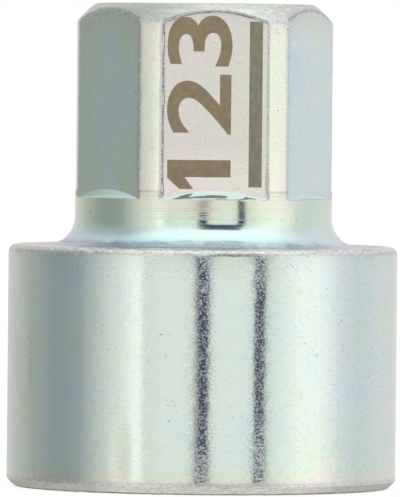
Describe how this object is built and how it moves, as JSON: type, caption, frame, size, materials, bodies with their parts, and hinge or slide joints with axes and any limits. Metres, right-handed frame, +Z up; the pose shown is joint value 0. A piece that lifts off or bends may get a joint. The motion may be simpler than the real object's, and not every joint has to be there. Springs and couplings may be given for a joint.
{
  "type": "locking wheel nut key",
  "caption": "Zinc plated steel key for locking wheel nuts: a hexagon head for a wheel brace on a short neck, above a plain round body with a coded socket underneath.",
  "frame": {"origin": "centre of the socket's rim, on the surface that the key stands on", "axes": "+Z up the turning axis towards the hexagon; the marked front flat of the hexagon faces -Y"},
  "size_m": [0.028, 0.028, 0.0349],
  "materials": {
    "zinc_plated_steel": "bright zinc plate with a pale iridescent passivation, satin",
    "laser_mark": "brown oxide burned into the plating by a laser, matt"
  },
  "bodies": {
    "root": {"wheel_nut_key": "zinc_plated_steel"}
  },
  "joints": []
}
